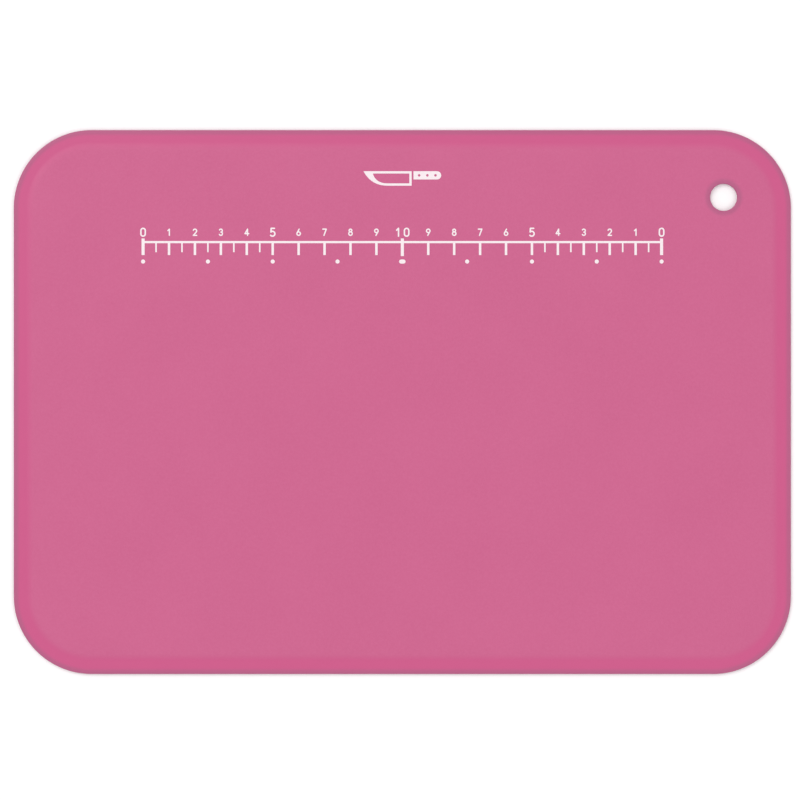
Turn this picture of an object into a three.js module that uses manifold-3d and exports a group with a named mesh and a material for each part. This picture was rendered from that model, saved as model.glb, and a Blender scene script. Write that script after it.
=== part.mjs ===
// A thin, flexible board with a centimetre scale printed on its face: one moulded sheet with a hanging
// hole, and the islands of white ink that make up the print. Millimetres, +Z up. The sheet lies flat on the
// plane z = 0, face up, its long side along X, with the print near the +Y edge. The origin is the middle of
// the underside.

import * as THREE from "three";
import { mergeVertices } from "three/addons/utils/BufferGeometryUtils.js";
import Module from "manifold-3d";

const wasm = await Module();
wasm.setup();

// ---------------------------------------------------------------- driving dimensions

const board = {
  length: 300, // along X
  width: 210, // along Y
  thickness: 2,
  cornerRadius: 30,
  cornerSteps: 20, // facets in each corner's quarter circle
};
const rim = {
  radius: 0.7, // rounding of the sheet's outer edge, above and below
  steps: 4, // facets in each quarter of that rounding
};
const border = {
  flat: 4.8, // smooth band round the face, from the outer edge to the foot of the ramp
  ramp: 3.2, // width of the ramp from the band up to the working panel
  drop: 0.3, // how far the band lies below the panel
};
const hole = {
  diameter: 10.4,
  inset: 26, // from the two nearest outer edges to the hole's centre
  lip: 0.5, // rounding where the hole meets each face
  steps: 48,
};
const ink = {
  thickness: 0.08,
  sideSteps: 10, // facets in a half circle of a stroke's centre line
  capSteps: 4, // facets in a stroke's round end
};
const scale = {
  halfLength: 100, // the scale counts up from 0 at each end to 10 at the middle
  fromTopEdge: 43.3, // from the sheet's +Y edge to the middle of the base line
  lineWidth: 0.85,
  division: 10,
};
const ticks = {
  whole: { width: 0.95, below: 5, above: 0 },
  half: { width: 0.6, below: 3.9, above: 0 },
  end: { width: 1.2, below: 5, above: 1.4 },
  middle: { width: 1.2, below: 5.4, above: 1.4 },
  halvesUpTo: 5, // only the outer five divisions of each side are halved
};
const numerals = {
  rise: 3.8, // from the base line up to the middle of the numerals
  small: { height: 2.9, stroke: 0.5 },
  large: { height: 3.6, stroke: 0.58 }, // 0, 5 and 10
  pairShift: 1.65, // how far the two figures of 10 stand off the middle
};
const dots = {
  fall: 7.5, // from the base line down to the middle of the dots
  spacing: 25,
  diameter: 1.6,
  middleWidth: 2.5,
  steps: 20,
};
const mark = {
  fromTopEdge: 18.75,
  length: 30, // from the blade's tip to the end of the handle
  gap: 0.7, // between blade and handle
  blade: {
    length: 18.6,
    height: 5.6,
    line: 0.9, // width of the line that the blade is drawn with
    bend: 0.16, // where the curved edge turns, as a share of the length
    straightFrom: 0.5, // where it runs straight, likewise
    tipSlant: 4, // how far back the line's inner side starts at the sharp tip, in line widths
  },
  handle: { height: 3.2, rivet: 1, rivets: 3, firstRivet: 2.2, rivetPitch: 3.15 },
  rivetSteps: 12,
};

const faceZ = board.thickness;
const bandZ = board.thickness - border.drop;
const scaleY = board.width / 2 - scale.fromTopEdge;
const markY = board.width / 2 - mark.fromTopEdge;

// ---------------------------------------------------------------- materials

const elastomer = new THREE.MeshStandardMaterial({ color: 0xcf6a92, roughness: 0.5, metalness: 0 });
const whiteInk = new THREE.MeshStandardMaterial({ color: 0xf7f3f5, roughness: 0.45, metalness: 0 });

// ---------------------------------------------------------------- solids

// A closed geometry as a manifold-3d solid, for joining and cutting.
function toSolid(geometry) {
  const bare = new THREE.BufferGeometry();
  bare.setAttribute("position", geometry.getAttribute("position"));
  bare.setIndex(geometry.index);
  const merged = mergeVertices(bare, 1e-4);
  return new wasm.Manifold(
    new wasm.Mesh({
      numProp: 3,
      vertProperties: new Float32Array(merged.attributes.position.array),
      triVerts: new Uint32Array(merged.index.array),
    }),
  );
}

function toGeometry(solid) {
  const { vertProperties, triVerts } = solid.getMesh();
  const geometry = new THREE.BufferGeometry();
  geometry.setAttribute("position", new THREE.BufferAttribute(vertProperties, 3));
  geometry.setIndex(new THREE.BufferAttribute(triVerts, 1));
  geometry.computeVertexNormals();
  return geometry;
}

function inkSolid(shape) {
  return toSolid(new THREE.ExtrudeGeometry(shape, { depth: ink.thickness, bevelEnabled: false }));
}

// Points along an arc of the given radius round (x, y), from one angle to the other.
function arcPoints(x, y, radius, from, to, steps) {
  return Array.from({ length: steps + 1 }, (_, i) => {
    const angle = THREE.MathUtils.lerp(from, to, i / steps);
    return new THREE.Vector2(x + radius * Math.cos(angle), y + radius * Math.sin(angle));
  });
}

// ---------------------------------------------------------------- the sheet

// The sheet's edge in section: x is the distance in from the outline, y is the height. It runs from the
// underside round the rim, over the smooth band and up the ramp to the working panel.
function edgeSection() {
  const r = rim.radius;
  return [
    ...arcPoints(r, r, r, -Math.PI / 2, -Math.PI, rim.steps),
    ...arcPoints(r, bandZ - r, r, Math.PI, Math.PI / 2, rim.steps),
    new THREE.Vector2(border.flat, bandZ),
    new THREE.Vector2(border.flat + border.ramp, faceZ),
  ];
}

// The rounded rectangle that lies a given distance inside the outline, anticlockwise. Every one has as many
// points.
function outline(inset) {
  const x = board.length / 2 - board.cornerRadius;
  const y = board.width / 2 - board.cornerRadius;
  const corners = [[x, y], [-x, y], [-x, -y], [x, -y]];
  return corners.flatMap(([cx, cy], quarter) => {
    const start = (quarter * Math.PI) / 2;
    return arcPoints(cx, cy, board.cornerRadius - inset, start, start + Math.PI / 2, board.cornerSteps);
  });
}

// The edge section carried round the outline, closed by a flat face below and above.
function sheetBlank() {
  const section = edgeSection();
  const rings = section.map(({ x: inset, y: z }) => outline(inset).map((p) => [p.x, p.y, z]));
  const count = rings[0].length;
  const triangles = [];
  for (let ring = 0; ring + 1 < rings.length; ring++) {
    for (let i = 0; i < count; i++) {
      const here = ring * count + i;
      const next = ring * count + ((i + 1) % count);
      triangles.push(here, next, next + count, here, next + count, here + count);
    }
  }
  const top = (rings.length - 1) * count;
  for (const [a, b, c] of THREE.ShapeUtils.triangulateShape(outline(section[0].x), [])) {
    triangles.push(a, c, b, top + a, top + b, top + c);
  }
  const geometry = new THREE.BufferGeometry();
  geometry.setAttribute("position", new THREE.Float32BufferAttribute(rings.flat(2), 3));
  geometry.setIndex(triangles);
  return toSolid(geometry);
}

// What is cut away for the hanging hole: a round bar that flares where it leaves each face.
function holeCutter() {
  const overshoot = 1;
  const lipX = hole.diameter / 2 + hole.lip;
  const flare = (z, up) =>
    arcPoints(lipX, z - up * hole.lip, hole.lip, up * Math.PI, (up * Math.PI) / 2, rim.steps);
  const profile = [
    new THREE.Vector2(0, -overshoot),
    new THREE.Vector2(lipX, -overshoot),
    ...flare(0, -1).reverse(),
    ...flare(faceZ, 1),
    new THREE.Vector2(lipX, faceZ + overshoot),
    new THREE.Vector2(0, faceZ + overshoot),
  ];
  const cutter = new THREE.LatheGeometry(profile, hole.steps);
  cutter.rotateX(Math.PI / 2);
  cutter.translate(board.length / 2 - hole.inset, board.width / 2 - hole.inset, 0);
  return toSolid(cutter);
}

function boardSheet() {
  return toGeometry(sheetBlank().subtract(holeCutter()));
}

// ---------------------------------------------------------------- the scale's line and ticks

// The tick that stands a number of half divisions from the middle of the scale, if there is one.
function tickAt(halves) {
  const value = scale.division - Math.abs(halves) / 2;
  if (value === 0) return ticks.end;
  if (value === scale.division) return ticks.middle;
  if (Number.isInteger(value)) return ticks.whole;
  return value < ticks.halvesUpTo ? ticks.half : undefined;
}

// A tick's four corners, from its left foot on the line round its far end to its right foot.
function tickCorners(x, width, foot, end) {
  return [
    new THREE.Vector2(x - width / 2, foot),
    new THREE.Vector2(x - width / 2, end),
    new THREE.Vector2(x + width / 2, end),
    new THREE.Vector2(x + width / 2, foot),
  ];
}

// The base line with every tick, which the ink joins into one island. Its outline runs along the top of the
// line from left to right, and back along the underside, round each tick on its way.
function scaleLine() {
  const foot = scale.lineWidth / 2;
  const over = [];
  const under = [];
  for (let halves = -2 * scale.division; halves <= 2 * scale.division; halves++) {
    const tick = tickAt(halves);
    if (!tick) continue;
    const x = (halves / 2) * (scale.halfLength / scale.division);
    under.push(...tickCorners(x, tick.width, -foot, -tick.below));
    if (tick.above > foot) over.push(...tickCorners(x, tick.width, foot, tick.above));
  }
  return inkSolid(new THREE.Shape([...over, ...under.reverse()]));
}

// ---------------------------------------------------------------- numerals

// Each figure is drawn with a round pen along these centre lines, in a box one unit high whose origin is
// the bottom left corner. A line is [x, y, x, y]; an arc is [x, y, radius, from, to] in degrees, and from
// 0 to 360 it is a ring.
const figureWidth = 0.56;
const bowl = figureWidth / 2;
const topBowl = 0.5 - bowl;
const figures = {
  0: {
    lines: [[0, bowl, 0, 1 - bowl], [figureWidth, bowl, figureWidth, 1 - bowl]],
    arcs: [[bowl, 1 - bowl, bowl, 0, 180], [bowl, bowl, bowl, 180, 360]],
  },
  1: { lines: [[0.1, 0.76, 0.34, 1], [0.34, 1, 0.34, 0]], arcs: [] },
  2: {
    lines: [[0.49, 0.53, 0.02, 0], [0.02, 0, figureWidth, 0]],
    arcs: [[bowl, 1 - bowl, bowl, -42, 160]],
  },
  3: { lines: [], arcs: [[bowl, 0.76, 0.24, -90, 155], [bowl, 0.26, 0.26, -155, 90]] },
  4: { lines: [[0.4, 0, 0.4, 1], [0.4, 1, 0, 0.28], [0, 0.28, 0.6, 0.28]], arcs: [] },
  5: {
    lines: [[0.5, 1, 0.08, 1], [0.08, 1, 0.06, 0.52]],
    arcs: [[0.25, 0.31, 0.31, -140, 132]],
  },
  6: { lines: [[0.04, 0.42, 0.36, 1]], arcs: [[bowl, bowl, bowl, 0, 360]] },
  7: { lines: [[0, 1, figureWidth, 1], [figureWidth, 1, 0.18, 0]], arcs: [] },
  8: { lines: [], arcs: [[bowl, bowl, bowl, 0, 360], [bowl, 1 - topBowl, topBowl, 0, 360]] },
  9: { lines: [[0.52, 0.58, 0.2, 0]], arcs: [[bowl, 1 - bowl, bowl, 0, 360]] },
};

// A straight stroke with round ends.
function lineStroke([x0, y0, x1, y1], width) {
  const along = Math.atan2(y1 - y0, x1 - x0);
  const quarter = Math.PI / 2;
  return new THREE.Shape([
    ...arcPoints(x1, y1, width / 2, along - quarter, along + quarter, ink.capSteps),
    ...arcPoints(x0, y0, width / 2, along + quarter, along + 3 * quarter, ink.capSteps),
  ]);
}

// A stroke along an arc, with round ends, or a ring where the arc is a full turn.
function arcStroke([x, y, radius, fromDegrees, toDegrees], width) {
  const from = THREE.MathUtils.degToRad(fromDegrees);
  const to = THREE.MathUtils.degToRad(toDegrees);
  const steps = Math.ceil((ink.sideSteps * (to - from)) / Math.PI);
  const outer = arcPoints(x, y, radius + width / 2, from, to, steps);
  const inner = arcPoints(x, y, radius - width / 2, from, to, steps);
  if (toDegrees - fromDegrees === 360) {
    const ring = new THREE.Shape(outer.slice(0, -1));
    ring.holes.push(new THREE.Path(inner.slice(0, -1).reverse()));
    return ring;
  }
  const cap = (angle, turn) => {
    const cx = x + radius * Math.cos(angle);
    const cy = y + radius * Math.sin(angle);
    return arcPoints(cx, cy, width / 2, angle + turn, angle + turn + Math.PI, ink.capSteps).slice(1, -1);
  };
  return new THREE.Shape([...outer, ...cap(to, 0), ...inner.reverse(), ...cap(from, Math.PI)]);
}

// One figure, standing on the middle of its own height and width.
function numeral(figure, { height, stroke }) {
  const size = height - stroke;
  const { lines, arcs } = figures[figure];
  const strokes = [
    ...lines.map((line) => lineStroke(line.map((v) => v * size), stroke)),
    ...arcs.map(([x, y, radius, ...turn]) =>
      arcStroke([x * size, y * size, radius * size, ...turn], stroke),
    ),
  ];
  const solid = wasm.Manifold.union(strokes.map(inkSolid));
  return solid.translate([(-figureWidth / 2) * size, -size / 2, 0]);
}

// ---------------------------------------------------------------- dots and mark

// A dot, or a short bar with round ends where its width is more than its height.
function dot(width, height) {
  const reach = (width - height) / 2;
  const half = dots.steps / 2;
  const quarter = Math.PI / 2;
  const right = arcPoints(reach, 0, height / 2, -quarter, quarter, half);
  const left = arcPoints(-reach, 0, height / 2, quarter, 3 * quarter, half);
  const points = reach > 0 ? [...right, ...left] : [...right, ...left.slice(1, -1)];
  return inkSolid(new THREE.Shape(points));
}

// The blade of a small knife, drawn as a line, with its tip at x = 0, its spine on top and its heel at the
// right.
function markBlade() {
  const { length, height, line, bend, straightFrom, tipSlant } = mark.blade;
  const bladeOutline = (inset) => {
    const path = new THREE.Shape();
    const spine = height / 2 - inset;
    const heel = length - inset;
    const slant = inset * tipSlant;
    path.moveTo(slant, spine);
    path.quadraticCurveTo(length * bend + slant / 2, -spine, length * straightFrom, -spine);
    path.lineTo(heel, -spine);
    path.lineTo(heel, spine);
    return path;
  };
  const outer = bladeOutline(0).getPoints(ink.sideSteps);
  const inner = bladeOutline(line).getPoints(ink.sideSteps);
  const blade = new THREE.Shape(outer);
  blade.holes.push(new THREE.Path(inner.reverse()));
  return inkSolid(blade);
}

// The knife's handle: a bar with a round end, pierced by its rivets.
function markHandle() {
  const { height, rivet, rivets, firstRivet, rivetPitch } = mark.handle;
  const start = mark.blade.length + mark.gap;
  const roundEnd = mark.length - height / 2;
  const y = (mark.blade.height - height) / 2;
  const quarter = Math.PI / 2;
  const handle = new THREE.Shape([
    new THREE.Vector2(start, y + height / 2),
    new THREE.Vector2(start, y - height / 2),
    ...arcPoints(roundEnd, y, height / 2, -quarter, quarter, ink.sideSteps),
  ]);
  for (let i = 0; i < rivets; i++) {
    const x = start + firstRivet + i * rivetPitch;
    const ring = arcPoints(x, y, rivet / 2, 0, -4 * quarter, mark.rivetSteps);
    handle.holes.push(new THREE.Path(ring.slice(0, -1)));
  }
  return inkSolid(handle);
}

// ---------------------------------------------------------------- the assembly

const assembly = new THREE.Group();

function addPiece(name, geometry, material, x = 0, y = 0, z = 0) {
  const mesh = new THREE.Mesh(geometry, material);
  mesh.name = name;
  mesh.position.set(x, y, z);
  assembly.add(mesh);
}

function addInk(name, solid, x, y) {
  addPiece(name, toGeometry(solid), whiteInk, x, y, faceZ);
}

addPiece("board_sheet", boardSheet(), elastomer);
addInk("scale_line", scaleLine(), 0, scaleY);

for (const [side, direction] of [["left", -1], ["right", 1]]) {
  for (let value = 0; value < scale.division; value++) {
    const style = value % 5 === 0 ? numerals.large : numerals.small;
    const fromMiddle = scale.halfLength * (1 - value / scale.division);
    const figure = numeral(value, style);
    addInk(`numeral_${side}_${value}`, figure, direction * fromMiddle, scaleY + numerals.rise);
  }
  for (let away = dots.spacing; away <= scale.halfLength; away += dots.spacing) {
    const round = dot(dots.diameter, dots.diameter);
    addInk(`dot_${side}_${away}mm`, round, direction * away, scaleY - dots.fall);
  }
}
addInk("numeral_middle_1", numeral(1, numerals.large), -numerals.pairShift, scaleY + numerals.rise);
addInk("numeral_middle_0", numeral(0, numerals.large), numerals.pairShift, scaleY + numerals.rise);
addInk("dot_middle", dot(dots.middleWidth, dots.diameter), 0, scaleY - dots.fall);
addInk("mark_blade", markBlade(), -mark.length / 2, markY);
addInk("mark_handle", markHandle(), -mark.length / 2, markY);

export default assembly;
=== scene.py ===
import math
import bpy
import numpy as np
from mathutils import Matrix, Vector


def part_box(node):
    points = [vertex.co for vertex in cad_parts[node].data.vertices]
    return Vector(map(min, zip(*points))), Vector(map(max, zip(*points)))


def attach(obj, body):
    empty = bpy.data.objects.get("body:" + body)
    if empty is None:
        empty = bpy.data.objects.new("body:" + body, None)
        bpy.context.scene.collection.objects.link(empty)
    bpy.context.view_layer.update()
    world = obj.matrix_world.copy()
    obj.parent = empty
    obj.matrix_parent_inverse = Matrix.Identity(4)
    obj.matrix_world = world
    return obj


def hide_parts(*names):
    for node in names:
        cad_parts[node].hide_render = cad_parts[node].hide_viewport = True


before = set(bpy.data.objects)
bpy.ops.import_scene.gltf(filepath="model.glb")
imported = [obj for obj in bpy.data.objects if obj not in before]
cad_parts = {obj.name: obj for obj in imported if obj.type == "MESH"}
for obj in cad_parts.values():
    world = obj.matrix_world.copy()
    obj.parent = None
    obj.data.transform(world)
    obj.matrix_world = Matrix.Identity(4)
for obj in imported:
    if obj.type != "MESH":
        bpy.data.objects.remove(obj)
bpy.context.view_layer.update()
print("frame loaded,", len(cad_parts), "nodes")

mm = 0.001


def smoothStep(t):
    # 3t^2 - 2t^3, flat at both ends
    return t * t * (3 - 2 * t)


def meshFromGrid(name, grid, closedU, closedV, values=None):
    # grid is (around, along, 3); each of its cells becomes a face, which looks along (along) x (around)
    around, along = grid.shape[:2]
    i, j = np.meshgrid(
        np.arange(around if closedU else around - 1),
        np.arange(along if closedV else along - 1),
        indexing="ij",
    )
    iNext, jNext = (i + 1) % around, (j + 1) % along
    corners = [i * along + j, i * along + jNext, iNext * along + jNext, iNext * along + j]
    quads = np.stack(corners, -1).reshape(-1, 4)
    mesh = bpy.data.meshes.new(name)
    mesh.vertices.add(around * along)
    mesh.vertices.foreach_set("co", grid.astype(np.float32).ravel())
    mesh.loops.add(quads.size)
    mesh.loops.foreach_set("vertex_index", quads.astype(np.int32).ravel())
    mesh.polygons.add(len(quads))
    mesh.polygons.foreach_set("loop_start", np.arange(0, quads.size, 4, dtype=np.int32))
    mesh.polygons.foreach_set("use_smooth", np.ones(len(quads), bool))
    for label, column in (values or {}).items():
        layer = mesh.attributes.new(label, "FLOAT", "POINT")
        spread = np.broadcast_to(column, (around, along))
        layer.data.foreach_set("value", spread.astype(np.float32).ravel())
    mesh.update(calc_edges=True)
    mesh.validate()
    obj = bpy.data.objects.new(name, mesh)
    bpy.context.scene.collection.objects.link(obj)
    return obj


def plug(tree, socket, value):
    # a socket takes either a link from another socket or a plain value
    if isinstance(value, bpy.types.NodeSocket):
        tree.links.new(value, socket)
    else:
        socket.default_value = value


def addNode(tree, kind, inputs=None, **settings):
    node = tree.nodes.new(kind)
    for key, value in settings.items():
        setattr(node, key, value)
    for key, value in (inputs or {}).items():
        plug(tree, node.inputs[key], value)
    return node


def newMaterial(name):
    material = bpy.data.materials.new(name)
    material.use_nodes = True
    tree = material.node_tree
    shader = next(n for n in tree.nodes if n.type == "BSDF_PRINCIPLED")
    return material, tree, shader


def objectPlace(tree):
    return addNode(tree, "ShaderNodeTexCoord").outputs["Object"]


def pointValue(tree, name):
    # a value that the mesh carries in its points
    return addNode(tree, "ShaderNodeAttribute", attribute_name=name).outputs["Fac"]


def mixColour(tree, factor, a, b):
    # colour a where factor is 0, colour b where it is 1
    node = addNode(tree, "ShaderNodeMix", {0: factor, 6: a, 7: b}, data_type="RGBA")
    return node.outputs[2]


def mapRange(tree, value, low, high, toLow, toHigh):
    # low..high stretched onto toLow..toHigh, and held at its ends beyond
    node = addNode(tree, "ShaderNodeMapRange", {
        "Value": value, "From Min": low, "From Max": high, "To Min": toLow, "To Max": toHigh,
    })
    return node.outputs["Result"]


def noise(tree, where, spec):
    # blobs of spec's size, in metres; detail and roughness say how much finer noise lies on them
    node = addNode(tree, "ShaderNodeTexNoise", {
        "Vector": where, "Scale": 1 / spec["size"],
        "Detail": spec["detail"], "Roughness": spec.get("roughness", 0.5),
    })
    return node.outputs["Fac"]


def patches(tree, where, spec, toLow=0, toHigh=1):
    # noise whose values from spec's low to its high fill toLow to toHigh
    return mapRange(tree, noise(tree, where, spec), spec["low"], spec["high"], toLow, toHigh)


def bump(tree, height, spec, below=None):
    # a relief of spec's depth, laid over the one below it
    inputs = {"Height": height, "Distance": spec["depth"], "Strength": spec["strength"]}
    if below is not None:
        inputs["Normal"] = below
    return addNode(tree, "ShaderNodeBump", inputs).outputs["Normal"]


def addMath(tree, operation, a, b):
    node = addNode(tree, "ShaderNodeMath", {0: a, 1: b}, operation=operation)
    return node.outputs[0]


# the moulded sheet: a raised panel, a soft ramp, a smooth band round it, and the hanging hole
sheetShape = {
    "cornerRadius": 30 * mm,
    "rimRadius": 0.7 * mm,      # rounding of the outer edge, above and below
    "rimSteps": 8,
    "bandWidth": 4.8 * mm,      # smooth band round the face
    "bandDrop": 0.3 * mm,       # how far it lies below the panel
    "bandRows": 9,
    "rampWidth": 3.2 * mm,      # soft step from the band up to the panel
    "rampSteps": 12,
    "underBand": 3.6 * mm,      # how far the smooth edge reaches under the sheet
    "underRows": 3,
    "holeRadius": 5.2 * mm,
    "holeInset": 26 * mm,       # from the two nearest edges to the hole's centre
    "lipRadius": 0.5 * mm,
    "lipSteps": 6,
    "fadeStart": 0.9 * mm,     # painted shade along an edge, and round the hole's lip, holds this far in
    "denseEnd": 2.6 * mm,       # and is gone by here
    "fadeRows": 4,
    "panelRows": 16,
    "around": 480,              # points round the outline, shared with the hole
}


def outlinePath(low, high, shape):
    # a rounded rectangle as the path of a corner's centre and the direction it faces: on a corner the
    # centre stands still and the direction turns a quarter, on a side the centre slides and the
    # direction holds
    r = shape["cornerRadius"]
    right, top = high[0] - r, high[1] - r
    left, bottom = low[0] + r, low[1] + r
    corners = np.array([(right, top), (left, top), (left, bottom), (right, bottom), (right, top)])
    stretches = 8  # four corners and four sides, in turn
    knots = np.arange(stretches + 1)
    centreKnots = np.repeat(corners, 2, axis=0)[:stretches + 1]
    angleKnots = np.repeat(np.arange(5), 2)[1:] * math.pi / 2
    hole = np.array([high[0], high[1]]) - shape["holeInset"]

    def at(u):
        centre = np.stack([np.interp(u, knots, centreKnots[:, k]) for k in (0, 1)], -1)
        angle = np.interp(u, knots, angleKnots)
        return centre, np.stack([np.cos(angle), np.sin(angle)], -1), angle

    # the points are spread evenly over the sum of two full turns: the outline's own and the one seen
    # from the hole, read off a path fine enough to be turned back into u
    fineSteps = 2000 * stretches
    fine = np.linspace(0, stretches, fineSteps + 1)
    centre, facing, angle = at(fine)
    seen = centre + r * facing - hole
    swing = np.unwrap(np.arctan2(seen[:, 1], seen[:, 0]))
    measure = (angle + swing - swing[0]) / (2 * 2 * math.pi)
    u = np.interp(np.arange(shape["around"]) / shape["around"], measure, fine)
    centre, facing = at(u)[:2]
    return centre, facing, hole


def quarterTurn(steps):
    return np.linspace(0, math.pi / 2, steps + 1)


def edgeSection(faceZ, shape):
    # (distance in from the outline, height, smoothness) from the panel to the underside: an S-shaped
    # ramp down to the band, a quarter round over the rim, the wall, and a quarter round under it
    r, foot, reach = shape["rimRadius"], shape["bandWidth"], shape["rampWidth"]
    bandZ = faceZ - shape["bandDrop"]
    t = np.linspace(0, 1, shape["rampSteps"] + 1)
    a = quarterTurn(shape["rimSteps"])
    rampIn = foot + reach * (1 - t)
    bandIn = np.linspace(foot, r, shape["bandRows"] + 2)[1:-1]
    underIn = np.linspace(r, shape["underBand"], shape["underRows"] + 1)[1:]
    inset = np.concatenate([rampIn, bandIn, r - r * np.sin(a), r - r * np.cos(a), underIn])
    height = np.concatenate([
        faceZ - shape["bandDrop"] * smoothStep(t), np.full(len(bandIn), bandZ),
        bandZ - r + r * np.cos(a), r - r * np.sin(a), np.zeros(len(underIn)),
    ])
    smooth = np.ones(len(inset))
    smooth[:len(t)] = smoothStep(t)
    smooth[-1] = 0
    return inset, height, smooth


def holeSection(faceZ, shape):
    # (distance out from the hole's wall, height) from the underside up: a quarter round for each lip
    lip = shape["lipRadius"]
    b = quarterTurn(shape["lipSteps"])
    ring = np.linspace(lip, shape["denseEnd"], shape["fadeRows"] + 1)[1:]
    out = np.concatenate([ring[::-1], lip - lip * np.sin(b), lip - lip * np.cos(b), ring])
    height = np.concatenate([
        np.zeros(len(ring)), lip - lip * np.cos(b),
        faceZ - lip + lip * np.sin(b), np.full(len(ring), faceZ),
    ])
    return out, height


def edgeFade(distance, shape):
    # 1 along an edge, falling smoothly to 0 further in
    start, end = shape["fadeStart"], shape["denseEnd"]
    return 1 - smoothStep(np.clip((distance - start) / (end - start), 0, 1))


def makeBoardSheet(shape):
    low, high = (np.array(corner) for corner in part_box("board_sheet"))
    centre, facing, hole = outlinePath(low, high, shape)
    edgeIn, edgeZ, edgeSmooth = edgeSection(high[2], shape)
    holeOut, holeZ = holeSection(high[2], shape)

    # each outline point stands on its corner's circle, shrunk by the section's distance in; each point
    # of the hole is in the direction of its partner on the outline
    edge = centre[:, None] + (shape["cornerRadius"] - edgeIn)[None, :, None] * facing[:, None]
    away = edge[:, 0] - hole
    away = away / np.linalg.norm(away, axis=1, keepdims=True)
    ring = hole + (shape["holeRadius"] + holeOut)[None, :, None] * away[:, None]

    # the panel and the underside are ruled between the hole and the edge, one straight spoke to a point
    s = (np.arange(1, shape["panelRows"]) / shape["panelRows"])[None, :, None]
    panel = ring[:, -1:] * (1 - s) + edge[:, :1] * s
    under = edge[:, -1:] * (1 - s) + ring[:, :1] * s
    rows = s.shape[1]
    flat = np.concatenate([ring, panel, edge, under], axis=1)
    height = np.concatenate([holeZ, np.full(rows, high[2]), edgeZ, np.zeros(rows)])
    grid = np.concatenate([flat, np.broadcast_to(height, flat.shape[:2])[..., None]], -1)

    # two values carried by the points: how smooth the skin is, which also sets the band's painted
    # deeper colour and which round the hole fades over half the distance, and how much painted shade
    # lies along the edges and round the hole's lip
    plain = np.zeros(rows)
    smoothBandAndSheen = np.concatenate([edgeFade(holeOut * 2, shape), plain, edgeSmooth, plain])
    paintedRimShade = np.concatenate([edgeFade(holeOut, shape), plain, edgeFade(edgeIn, shape), plain])
    board = meshFromGrid("boardSheet", grid, True, True, {"smoothBandAndSheen": smoothBandAndSheen, "paintedRimShade": paintedRimShade})
    board.data.materials.append(boardMaterial(sheetFinish))
    return board


sheetFinish = {
    "panelColour": (0.546, 0.102, 0.234, 1),
    "panelLight": (0.556, 0.106, 0.240, 1),  # clouds of it lie on the panel
    "cloud": {"size": 34 * mm, "detail": 3, "low": 0.35, "high": 0.65},
    "speckleColour": (0.66, 0.20, 0.35, 1),
    "speckle": {"size": 0.9 * mm, "detail": 2, "low": 0.35, "high": 0.75},
    "speckleShare": 0.10,
    # the band's deeper pink is painted, standing in for the weaker sheen of its smooth skin
    "bandLowSheenColour": (0.560, 0.0855, 0.225, 1),
    # painted shade: a darker pink along the outer rim and round the hole's lip, where the rounding
    # turns away from the light
    "rimShadeColour": (0.418, 0.099, 0.208, 1),
    "rimShadeShare": 0.85,
    "panelRoughness": 0.52,
    "bandRoughness": 0.36,
    "rub": {"size": 9 * mm, "detail": 4, "roughness": 0.6, "low": 0.3, "high": 0.7},
    "rubSpread": 0.05,          # how much handling changes the roughness, up and down
    "specular": 0.35,           # the rubbery skin reflects less than hard plastic
    "grain": {                  # the fine pear skin pressed into the panel
        "size": 0.5 * mm, "detail": 1, "low": 0.38, "high": 0.62,
        "depth": 0.03 * mm, "strength": 0.7,
    },
    "swell": {                  # slow unevenness of the moulding
        "size": 60 * mm, "detail": 1, "depth": 0.03 * mm, "strength": 0.6,
    },
}


def boardMaterial(finish):
    material, tree, shader = newMaterial("pinkElastomer")
    where = objectPlace(tree)
    smoothBandAndSheen = pointValue(tree, "smoothBandAndSheen")
    paintedRimShade = pointValue(tree, "paintedRimShade")

    cloudy = patches(tree, where, finish["cloud"])
    speckled = patches(tree, where, finish["speckle"], toHigh=finish["speckleShare"])
    panel = mixColour(tree, cloudy, finish["panelColour"], finish["panelLight"])
    panel = mixColour(tree, speckled, panel, finish["speckleColour"])
    # the band takes its painted deeper pink, which stands in for its weaker sheen
    colour = mixColour(tree, smoothBandAndSheen, panel, finish["bandLowSheenColour"])
    # the painted shade along the rim and round the hole's lip is mixed over the colour
    dense = addMath(tree, "MULTIPLY", paintedRimShade, finish["rimShadeShare"])
    plug(tree, shader.inputs["Base Color"], mixColour(tree, dense, colour, finish["rimShadeColour"]))

    rub = patches(tree, where, finish["rub"], -finish["rubSpread"], finish["rubSpread"])
    rough = mapRange(tree, smoothBandAndSheen, 0, 1, finish["panelRoughness"], finish["bandRoughness"])
    plug(tree, shader.inputs["Roughness"], addMath(tree, "ADD", rough, rub))
    shader.inputs["Specular IOR Level"].default_value = finish["specular"]

    # the grain is pressed into the panel only, over the slow swell of the whole sheet
    onPanel = addMath(tree, "SUBTRACT", 1.0, smoothBandAndSheen)
    grain = addMath(tree, "MULTIPLY", patches(tree, where, finish["grain"]), onPanel)
    swell = bump(tree, noise(tree, where, finish["swell"]), finish["swell"])
    plug(tree, shader.inputs["Normal"], bump(tree, grain, finish["grain"], below=swell))
    return material


boardSheet = makeBoardSheet(sheetShape)
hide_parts("board_sheet")
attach(boardSheet, "root")
print("moulded sheet:", len(boardSheet.data.polygons), "faces")


inkFinish = {
    "colour": (0.86, 0.76, 0.79, 1),
    "thinColour": (0.80, 0.58, 0.67, 1),  # where the pink shows through
    "thin": {"size": 0.8 * mm, "detail": 3, "roughness": 0.6, "low": 0.52, "high": 0.78},
    "thinShare": 0.5,
    "gloss": {"size": 2.5 * mm, "detail": 3, "low": 0.3, "high": 0.7},
    "roughnessRange": (0.38, 0.52),
    "skin": {"size": 0.5 * mm, "detail": 2, "depth": 0.01 * mm, "strength": 0.6},
    "joinDistance": 0.002 * mm,
    "edgeWidth": 0.02 * mm,               # the ink's edges are drawn down, not cut
    "edgeSegments": 2,
    "edgeAngle": math.radians(60),        # only edges sharper than this are softened
}


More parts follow.
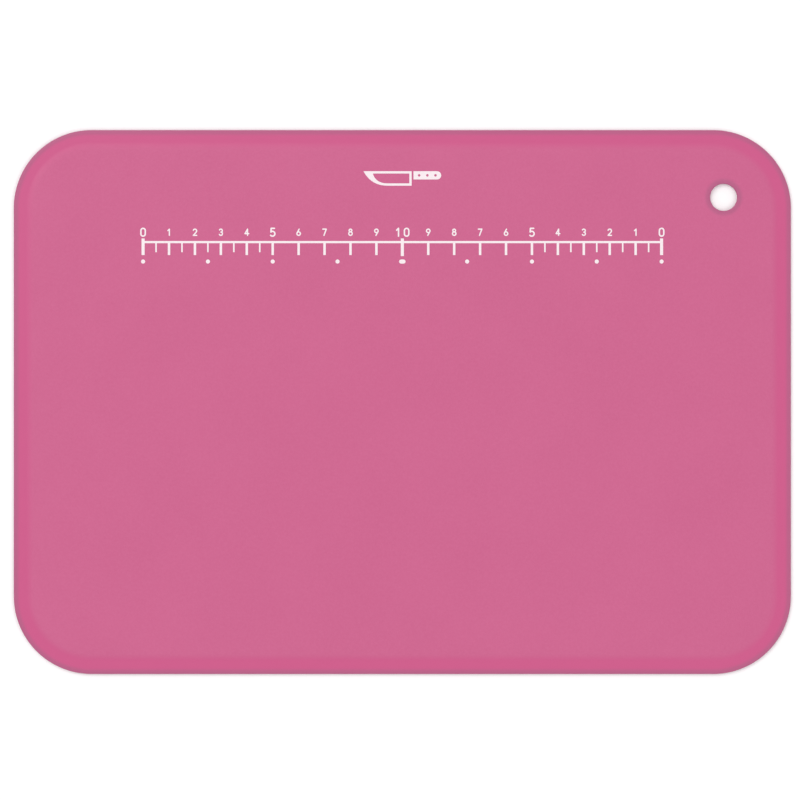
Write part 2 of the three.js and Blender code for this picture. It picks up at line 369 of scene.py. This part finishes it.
def inkMaterial(finish):
    material, tree, shader = newMaterial("whitePrint")
    where = objectPlace(tree)
    thin = patches(tree, where, finish["thin"], toHigh=finish["thinShare"])
    colour = mixColour(tree, thin, finish["colour"], finish["thinColour"])
    rough = patches(tree, where, finish["gloss"], *finish["roughnessRange"])
    plug(tree, shader.inputs["Base Color"], colour)
    plug(tree, shader.inputs["Roughness"], rough)
    plug(tree, shader.inputs["Normal"], bump(tree, noise(tree, where, finish["skin"]), finish["skin"]))
    return material


def softenInk(node, finish):
    # the loose triangles are joined first, so that only the true edges are bevelled
    weld = node.modifiers.new("joinTriangles", "WELD")
    weld.merge_threshold = finish["joinDistance"]
    bevel = node.modifiers.new("softInkEdge", "BEVEL")
    bevel.width = finish["edgeWidth"]
    bevel.segments = finish["edgeSegments"]
    bevel.limit_method = "ANGLE"
    bevel.angle_limit = finish["edgeAngle"]


whitePrint = inkMaterial(inkFinish)
printNodes = [node for name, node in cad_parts.items() if name != "board_sheet"]
for node in printNodes:
    node.data.materials.clear()
    node.data.materials.append(whitePrint)
    softenInk(node, inkFinish)
print("print:", len(printNodes), "islands of ink")


floorShape = {
    "centreRadius": 0.001,      # the middle is closed down to this
    "firstRing": 0.2,
    "flatRadius": 2.6,
    "outerRadius": 6.0,
    "wallHeight": 2.6,
    "rings": 40,
    "around": 96,
}

floorFinish = {
    "colour": (0.97, 0.97, 0.97, 1),
    "shade": (0.93, 0.93, 0.93, 1),
    "tone": {"size": 0.3, "detail": 3, "low": 0.3, "high": 0.7},
    "leastColour": 0.985,       # share of colour against shade where the tone is lowest
    "roughness": 0.9,
    "specular": 0.1,
}


def makeFloor(shape):
    # a dish turned round the vertical: flat out to flatRadius, then height grows with the cube of the
    # way out
    rings = np.linspace(shape["firstRing"], shape["outerRadius"], shape["rings"])
    r = np.concatenate([[shape["centreRadius"]], rings])
    t = np.clip((r - shape["flatRadius"]) / (shape["outerRadius"] - shape["flatRadius"]), 0, 1)
    turn = np.linspace(0, 2 * math.pi, shape["around"], endpoint=False)
    grid = np.stack([
        np.cos(turn)[:, None] * r, np.sin(turn)[:, None] * r,
        np.broadcast_to(shape["wallHeight"] * t ** 3, (shape["around"], len(r))),
    ], -1)
    floor = meshFromGrid("floor", grid, True, False)
    floor.data.materials.append(floorMaterial(floorFinish))
    return floor


def floorMaterial(finish):
    material, tree, shader = newMaterial("paleFloor")
    tone = patches(tree, objectPlace(tree), finish["tone"], toLow=finish["leastColour"])
    plug(tree, shader.inputs["Base Color"], mixColour(tree, tone, finish["shade"], finish["colour"]))
    shader.inputs["Roughness"].default_value = finish["roughness"]
    shader.inputs["Specular IOR Level"].default_value = finish["specular"]
    return material


makeFloor(floorShape)

lights = {
    "keyLight": {"place": (-1.1, 1.25, 2.5), "size": 2.0, "power": 25},
    "fillLight": {"place": (1.7, -1.1, 2.3), "size": 1.8, "power": 10},
}
for name, spec in lights.items():
    # a round soft lamp that faces the origin
    data = bpy.data.lights.new(name, "AREA")
    data.shape = "DISK"
    data.size = spec["size"]
    data.energy = spec["power"]
    lamp = bpy.data.objects.new(name, data)
    lamp.location = spec["place"]
    lamp.rotation_euler = (-Vector(spec["place"])).to_track_quat("-Z", "Y").to_euler()
    lamp.visible_camera = False
    bpy.context.scene.collection.objects.link(lamp)

softRoom = {"colour": (1, 1, 1, 1), "strength": 0.83}
world = bpy.data.worlds.new("softRoom")
bpy.context.scene.world = world
world.use_nodes = True
background = world.node_tree.nodes["Background"]
background.inputs["Color"].default_value = softRoom["colour"]
background.inputs["Strength"].default_value = softRoom["strength"]

cameraSetup = {
    "sensorWidth": 36,
    "height": 1.25,              # above the board's face, looking straight down
    "widthSeen": 308.6 * mm,     # at the board's face
    "centre": (-0.90 * mm, 0.79 * mm),
}
cameraData = bpy.data.cameras.new("camera")
cameraData.sensor_width = cameraSetup["sensorWidth"]
cameraData.lens = cameraSetup["sensorWidth"] * cameraSetup["height"] / cameraSetup["widthSeen"]
camera = bpy.data.objects.new("camera", cameraData)
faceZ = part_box("board_sheet")[1].z
camera.location = (*cameraSetup["centre"], faceZ + cameraSetup["height"])
bpy.context.scene.collection.objects.link(camera)
bpy.context.scene.camera = camera
bpy.context.scene.view_settings.view_transform = "Standard"
print("floor, lights and camera in place")
